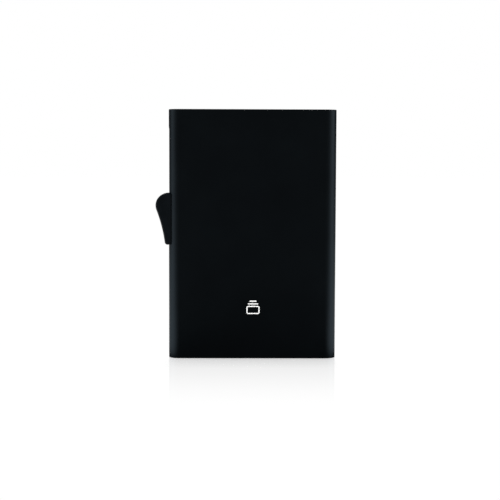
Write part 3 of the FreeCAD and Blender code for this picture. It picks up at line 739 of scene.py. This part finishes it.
# %% Strip tree
rule, sizes = new_rule("bowed_strip_rule", {
    "Length": "Float", "Bow": "Float", "Width": "Float", "Thickness": "Float",
    "Foot": "Vector", "Turn": "Float", "Finish": "Material"})
right_end = add(rule, "ShaderNodeMath", {0: sizes["Length"], 1: 0.5}, operation="MULTIPLY")
left_end = add(rule, "ShaderNodeMath", {0: right_end, 1: -1.0}, operation="MULTIPLY")
start = add(rule, "ShaderNodeCombineXYZ", {"X": left_end})
crown = add(rule, "ShaderNodeCombineXYZ", {"Y": sizes["Bow"]})
stop = add(rule, "ShaderNodeCombineXYZ", {"X": right_end})
bend = add(rule, "GeometryNodeCurveArc", {
    "Resolution": 40, "Start": start, "Middle": crown, "End": stop}, mode="POINTS")
cross_section = add(rule, "GeometryNodeCurvePrimitiveQuadrilateral", {
    "Width": sizes["Thickness"], "Height": sizes["Width"]})
strip = add(rule, "GeometryNodeCurveToMesh", {
    "Curve": bend, "Profile Curve": cross_section, "Fill Caps": True})
upright = add(rule, "GeometryNodeTransform", {"Geometry": strip,
                                              "Rotation": (0.0, -math.pi / 2, 0.0)})
aimed = add(rule, "ShaderNodeCombineXYZ", {"Z": sizes["Turn"]})
fitted = add(rule, "GeometryNodeTransform", {
    "Geometry": upright, "Translation": sizes["Foot"], "Rotation": aimed})
end_rule(rule, fitted, sizes["Finish"])

# %% Leaf springs
STRIPS = (
    ("left_card_leaf", "card_spring_left", "case", 0.75 * MM, 0.2 * MM, 0.0),
    ("right_card_leaf", "card_spring_right", "case", 0.75 * MM, 0.2 * MM, 0.0),
    ("brake_leaf", "brake_spring", "slider", 0.52 * MM, 0.15 * MM, -math.pi / 2),
)
for name, node, body, bow, sheet, turn in STRIPS:
    low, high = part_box(node)
    middle = (low + high) / 2
    faces_cards = turn == 0.0
    foot = ((middle.x, low.y + sheet / 2, middle.z) if faces_cards else
            (low.x + sheet / 2, middle.y, middle.z))
    leaf = grow(name, rule, {
        "Length": high.z - low.z, "Bow": bow, "Thickness": sheet, "Foot": foot, "Turn": turn,
        "Width": (high.x - low.x) if faces_cards else (high.y - low.y), "Finish": strip_steel})
    soften(leaf, 0.03 * MM, segments=1)
    settle(leaf, body, "spring_steel", node)

# %% [markdown]
# ## Felt pads
# Two strips of charcoal wool felt line the back wall at the mouth and stop the cards from
# rattling. Felt is a mat of fibres 0.02 mm thick; they are drawn at 0.05 mm, scattered with
# a fixed seed and laid nearly flat. A soft sheen stands for the fuzz.

# %% Wool felt
wool, tree, shader, where = finish_named("charcoal_wool_felt", 0.95)
mat = add(tree, "ShaderNodeTexNoise", {"Vector": where, "Scale": 1 / (0.4 * MM), "Detail": 5.0,
                                       "Distortion": 1.5})
tone = add(tree, "ShaderNodeValToRGB", {"Fac": mat}, stops=((0.35, "#1d1f21"),
                                                            (0.65, "#35383a")))
bump = add(tree, "ShaderNodeBump", {"Height": mat, "Strength": 0.6, "Distance": 0.05 * MM})
feed(tree, shader, {"Base Color": tone, "Sheen Weight": 0.4, "Sheen Roughness": 0.5,
                    "Normal": bump})

# %% Felt tree
HUMP = 0.12 * MM
rule, sizes = new_rule("felt_rule", {
    "Centre": "Vector", "Size": "Vector", "Fibres per area": "Float", "Seed": "Int",
    "Finish": "Material"})
slab = add(rule, "GeometryNodeMeshCube", {"Size": sizes["Size"], "Vertices X": 40,
                                          "Vertices Y": 2, "Vertices Z": 72})
lump = add(rule, "ShaderNodeTexNoise", {"Scale": 1 / (0.9 * MM), "Detail": 2.0})
hump = add(rule, "ShaderNodeMath", {0: lump, 1: -0.5}, operation="ADD")
hump_size = add(rule, "ShaderNodeMath", {0: hump, 1: HUMP}, operation="MULTIPLY")
rise = add(rule, "ShaderNodeCombineXYZ", {"Y": hump_size})
face = add(rule, "GeometryNodeInputNormal")
facing = add(rule, "ShaderNodeSeparateXYZ", {0: face})
front_side = add(rule, "FunctionNodeCompare", {0: facing.outputs["Y"], 1: -0.9},
                 operation="LESS_THAN")
lumpy = add(rule, "GeometryNodeSetPosition", {
    "Geometry": slab, "Selection": front_side, "Offset": rise})
spread = add(rule, "GeometryNodeDistributePointsOnFaces", {
    "Mesh": lumpy, "Selection": front_side, "Density": sizes["Fibres per area"],
    "Seed": sizes["Seed"]})
hair = add(rule, "GeometryNodeCurvePrimitiveBezierSegment", {
    "Resolution": 4, "Start": (-0.35 * MM, 0, 0), "Start Handle": (-0.1 * MM, 0, 0.09 * MM),
    "End Handle": (0.1 * MM, 0.05 * MM, 0.09 * MM), "End": (0.35 * MM, 0, 0)})
thin = add(rule, "GeometryNodeCurvePrimitiveCircle", {"Resolution": 3, "Radius": 0.025 * MM})
fibre = add(rule, "GeometryNodeCurveToMesh", {
    "Curve": hair, "Profile Curve": thin, "Fill Caps": True})
spin = add(rule, "FunctionNodeRandomValue", {"Min": (0.0, 0.0, 0.0),
                                             "Max": (0.0, 0.0, math.tau),
                                             "Seed": sizes["Seed"]}, data_type="FLOAT_VECTOR")
stand = add(rule, "FunctionNodeRotateEuler", {
    "Rotation": (math.pi / 2, 0.0, 0.0), "Rotate By": spin}, space="LOCAL")
fuzz = add(rule, "GeometryNodeInstanceOnPoints", {
    "Points": spread, "Instance": fibre, "Rotation": stand})
together = add(rule, "GeometryNodeJoinGeometry", {0: [lumpy, fuzz]})
moved = add(rule, "GeometryNodeTransform", {"Geometry": together,
                                            "Translation": sizes["Centre"]})
end_rule(rule, moved, sizes["Finish"])

# %% Felt pads
for name, node, seed in (("left_felt_pad", "card_felt_left", 4),
                         ("right_felt_pad", "card_felt_right", 9)):
    low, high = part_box(node)
    pad = grow(name, rule, {"Centre": (low + high) / 2, "Size": high - low,
                            "Fibres per area": 7e6, "Seed": seed, "Finish": wool})
    shade(pad, crease=60)
    settle(pad, "case", "felt", node)

# %% [markdown]
# ## Adhesive sheets
# Double-sided tissue tape holds the cassette in the tube. It is never seen in use, so the
# plain sheets of the frame stay and only take the finish: a milky film with the cloudy
# fibres of its tissue.

# %% Tissue tape
tissue, tree, shader, where = finish_named("double_sided_tissue_tape", 0.45)
cloud = add(tree, "ShaderNodeTexNoise", {"Vector": where, "Scale": 1 / (1.2 * MM),
                                         "Detail": 5.0, "Distortion": 2.0})
tone = add(tree, "ShaderNodeValToRGB", {"Fac": cloud}, stops=((0.35, "#c9c6bd"),
                                                              (0.65, "#dedbd2")))
bump = add(tree, "ShaderNodeBump", {"Height": cloud, "Strength": 0.2, "Distance": 0.02 * MM})
feed(tree, shader, {"Base Color": tone, "Normal": bump})
for node in ("frame_tape_front", "frame_tape_back"):
    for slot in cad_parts[node].material_slots:
        slot.material = tissue
print("tapes finished")

# %% [markdown]
# ## Etched mark
# A laser burns the dye out of the oxide and leaves a chalky white line. The mark is a plain
# sign for what the wallet does: a card with two more stepping up behind it. A rounded
# outline is swept once, and the steps are one bar put on points and made shorter each time.

# %% Laser white
laser_white, tree, shader, where = finish_named("laser_etched_white", 0.75)
hatch = add(tree, "ShaderNodeTexNoise", {"Vector": where, "Scale": 1 / (0.2 * MM),
                                         "Detail": 2.0})
tone = add(tree, "ShaderNodeValToRGB", {"Fac": hatch}, stops=((0.3, "#f1f2f1"),
                                                              (0.7, "#fbfbfa")))
bump = add(tree, "ShaderNodeBump", {"Height": hatch, "Strength": 0.1, "Distance": 0.01 * MM})
feed(tree, shader, {"Base Color": tone, "Normal": bump})

# %% Mark tree
rule, sizes = new_rule("card_mark_rule", {
    "Width": "Float", "Height": "Float", "Stroke": "Float", "Depth": "Float",
    "Steps": "Int", "Pitch": "Float", "Shrink": "Float", "Place": "Vector",
    "Finish": "Material"})
line_wide = add(rule, "ShaderNodeMath", {0: sizes["Width"], 1: sizes["Stroke"]},
                operation="SUBTRACT")
line_tall = add(rule, "ShaderNodeMath", {0: sizes["Height"], 1: sizes["Stroke"]},
                operation="SUBTRACT")
corner = add(rule, "ShaderNodeMath", {0: sizes["Stroke"], 1: 1.1}, operation="MULTIPLY")
card_line = add(rule, "GeometryNodeCurvePrimitiveQuadrilateral", {
    "Width": line_wide, "Height": line_tall})
card_round = add(rule, "GeometryNodeFilletCurve", {
    "Curve": card_line, "Radius": corner, "Count": 8, "Limit Radius": True}, mode="POLY")
nib = add(rule, "GeometryNodeCurvePrimitiveQuadrilateral", {
    "Width": sizes["Stroke"], "Height": sizes["Depth"]})
outline = add(rule, "GeometryNodeCurveToMesh", {"Curve": card_round, "Profile Curve": nib})

# %% Steps of the mark
pitch_to_line = add(rule, "ShaderNodeMath", {0: sizes["Stroke"], 1: -0.5, 2: sizes["Pitch"]},
                    operation="MULTIPLY_ADD")
first_height = add(rule, "ShaderNodeMath", {0: sizes["Height"], 1: 0.5, 2: pitch_to_line},
                   operation="MULTIPLY_ADD")
first_step = add(rule, "ShaderNodeCombineXYZ", {"Y": first_height})
next_step = add(rule, "ShaderNodeCombineXYZ", {"Y": sizes["Pitch"]})
steps = add(rule, "GeometryNodeMeshLine", {
    "Count": sizes["Steps"], "Start Location": first_step, "Offset": next_step})
order = add(rule, "GeometryNodeInputIndex")
counted = add(rule, "ShaderNodeMath", {0: order, 1: 1.0}, operation="ADD")
cut_short = add(rule, "ShaderNodeMath", {0: counted, 1: sizes["Shrink"]}, operation="MULTIPLY")
bar_wide = add(rule, "ShaderNodeMath", {0: sizes["Width"], 1: cut_short}, operation="SUBTRACT")
bar_size = add(rule, "ShaderNodeCombineXYZ", {"X": bar_wide, "Y": sizes["Stroke"],
                                              "Z": sizes["Depth"]})
unit = add(rule, "GeometryNodeMeshCube", {"Size": (1.0, 1.0, 1.0)})
bars = add(rule, "GeometryNodeInstanceOnPoints", {
    "Points": steps, "Instance": unit, "Scale": bar_size})
sign = add(rule, "GeometryNodeJoinGeometry", {0: [outline, bars]})
stood_up = add(rule, "GeometryNodeTransform", {
    "Geometry": sign, "Translation": sizes["Place"], "Rotation": (math.pi / 2, 0.0, 0.0)})
end_rule(rule, stood_up, sizes["Finish"])

# %% Etched mark
MARK_DEPTH, MARK_PROUD = 0.06 * MM, 0.015 * MM
MARK_PLACE = (0.3 * MM, shell_low.y - MARK_PROUD + MARK_DEPTH / 2, 18.35 * MM)
mark = grow("etched_mark", rule, {
    "Width": 5.0 * MM, "Height": 3.2 * MM, "Stroke": 0.48 * MM, "Depth": MARK_DEPTH,
    "Steps": 2, "Pitch": 1.0 * MM, "Shrink": 1.2 * MM, "Finish": laser_white,
    "Place": MARK_PLACE})
weld = bmesh.new()
weld.from_mesh(mark.data)
bmesh.ops.remove_doubles(weld, verts=weld.verts, dist=WELD)
weld.to_mesh(mark.data)
print("mark open edges", sum(not edge.is_manifold for edge in weld.edges))
weld.free()
settle(mark, "case", "anodised_aluminium")
